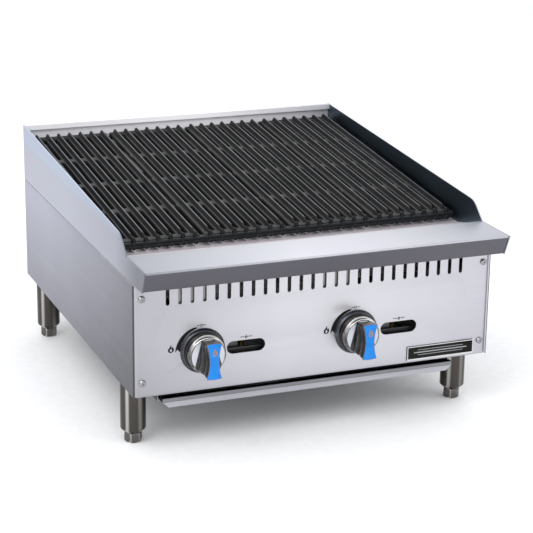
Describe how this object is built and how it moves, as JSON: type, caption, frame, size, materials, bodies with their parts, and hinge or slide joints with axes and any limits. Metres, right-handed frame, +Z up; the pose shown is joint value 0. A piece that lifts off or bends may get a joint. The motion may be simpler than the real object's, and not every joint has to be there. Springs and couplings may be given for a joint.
{
  "type": "countertop gas charbroiler",
  "caption": "Countertop gas charbroiler: stainless body on adjustable legs, sloping cast-iron grates between splash guards, front ledge, knobs and a pull-out drip tray.",
  "frame": {"origin": "on the counter top, under the middle of the overall box", "axes": "+Z up, front panel towards -Y, +X to the right seen from the front"},
  "size_m": [0.61, 0.754, 0.3871],
  "materials": {
    "shell_steel": "brushed stainless sheet, fine horizontal grain",
    "inner_steel": "dull aluminised sheet, heat-tinted near the fire",
    "tray_steel": "plain stainless sheet",
    "grate_iron": "as-cast iron, oiled, brighter on the worn rib tops",
    "burner_iron": "rough as-cast iron",
    "pipe_steel": "black iron gas pipe",
    "valve_brass": "machined brass",
    "knob_chrome": "polished chrome skirt with a satin face",
    "knob_blue": "smooth bright blue plastic",
    "dial_ring_chrome": "dark polished ring",
    "screw_chrome": "bright plated screw",
    "nameplate_enamel": "black enamel with a bare metal edge",
    "leg_steel": "polished stainless tube"
  },
  "bodies": {
    "body": {"base_frame": "inner_steel", "back_panel": "inner_steel", "front_panel": "shell_steel", "front_ledge": "shell_steel", "back_guard": "shell_steel", "grate_rest_front": "inner_steel", "grate_rest_rear": "inner_steel", "rear_baffle": "inner_steel", "nameplate": "nameplate_enamel", "gas_manifold": "pipe_steel", "side_panel_left": "shell_steel", "side_guard_left": "shell_steel", "tray_runner_left": "inner_steel", "radiant_left": "burner_iron", "burner_left": "burner_iron", "valve_left": "valve_brass", "dial_ring_left": "dial_ring_chrome", "pilot_left": "valve_brass", "pilot_tube_left": "valve_brass", "panel_screw_lower_left": "screw_chrome", "panel_screw_upper_left": "screw_chrome", "side_panel_right": "shell_steel", "side_guard_right": "shell_steel", "tray_runner_right": "inner_steel", "radiant_right": "burner_iron", "burner_right": "burner_iron", "valve_right": "valve_brass", "dial_ring_right": "dial_ring_chrome", "pilot_right": "valve_brass", "pilot_tube_right": "valve_brass", "panel_screw_lower_right": "screw_chrome", "panel_screw_upper_right": "screw_chrome", "leg_front_left": "leg_steel", "leg_front_right": "leg_steel", "leg_rear_left": "leg_steel", "leg_rear_right": "leg_steel"},
    "knob_left": {"knob_left": "knob_chrome", "knob_insert_left": "knob_blue", "valve_stem_left": "valve_brass"},
    "knob_right": {"knob_right": "knob_chrome", "knob_insert_right": "knob_blue", "valve_stem_right": "valve_brass"},
    "drip_tray": {"drip_tray": "tray_steel"},
    "grate_1": {"grate_1": "grate_iron"},
    "grate_2": {"grate_2": "grate_iron"},
    "grate_3": {"grate_3": "grate_iron"},
    "grate_4": {"grate_4": "grate_iron"},
    "foot_front_left": {"foot_front_left": "leg_steel"},
    "foot_front_right": {"foot_front_right": "leg_steel"},
    "foot_rear_left": {"foot_rear_left": "leg_steel"},
    "foot_rear_right": {"foot_rear_right": "leg_steel"}
  },
  "joints": [
    {"name": "knob_left_turn", "type": "hinge", "parent": "body", "child": "knob_left", "pos_m": [-0.19325, -0.317, 0.1676], "axis": [0, -1, 0], "range_deg": [0, 90]},
    {"name": "knob_right_turn", "type": "hinge", "parent": "body", "child": "knob_right", "pos_m": [0.06675, -0.317, 0.1676], "axis": [0, -1, 0], "range_deg": [0, 90]},
    {"name": "drip_tray_slide", "type": "slide", "parent": "body", "child": "drip_tray", "axis": [0, -1, 0], "range_m": [0, 0.42]},
    {"name": "grate_1_lift", "type": "slide", "parent": "body", "child": "grate_1", "axis": [0, 0, 1], "range_m": [0, 0.15]},
    {"name": "grate_2_lift", "type": "slide", "parent": "body", "child": "grate_2", "axis": [0, 0, 1], "range_m": [0, 0.15]},
    {"name": "grate_3_lift", "type": "slide", "parent": "body", "child": "grate_3", "axis": [0, 0, 1], "range_m": [0, 0.15]},
    {"name": "grate_4_lift", "type": "slide", "parent": "body", "child": "grate_4", "axis": [0, 0, 1], "range_m": [0, 0.15]},
    {"name": "foot_front_left_adjust", "type": "slide", "parent": "body", "child": "foot_front_left", "axis": [0, 0, -1], "range_m": [0, 0.025]},
    {"name": "foot_front_right_adjust", "type": "slide", "parent": "body", "child": "foot_front_right", "axis": [0, 0, -1], "range_m": [0, 0.025]},
    {"name": "foot_rear_left_adjust", "type": "slide", "parent": "body", "child": "foot_rear_left", "axis": [0, 0, -1], "range_m": [0, 0.025]},
    {"name": "foot_rear_right_adjust", "type": "slide", "parent": "body", "child": "foot_rear_right", "axis": [0, 0, -1], "range_m": [0, 0.025]}
  ]
}
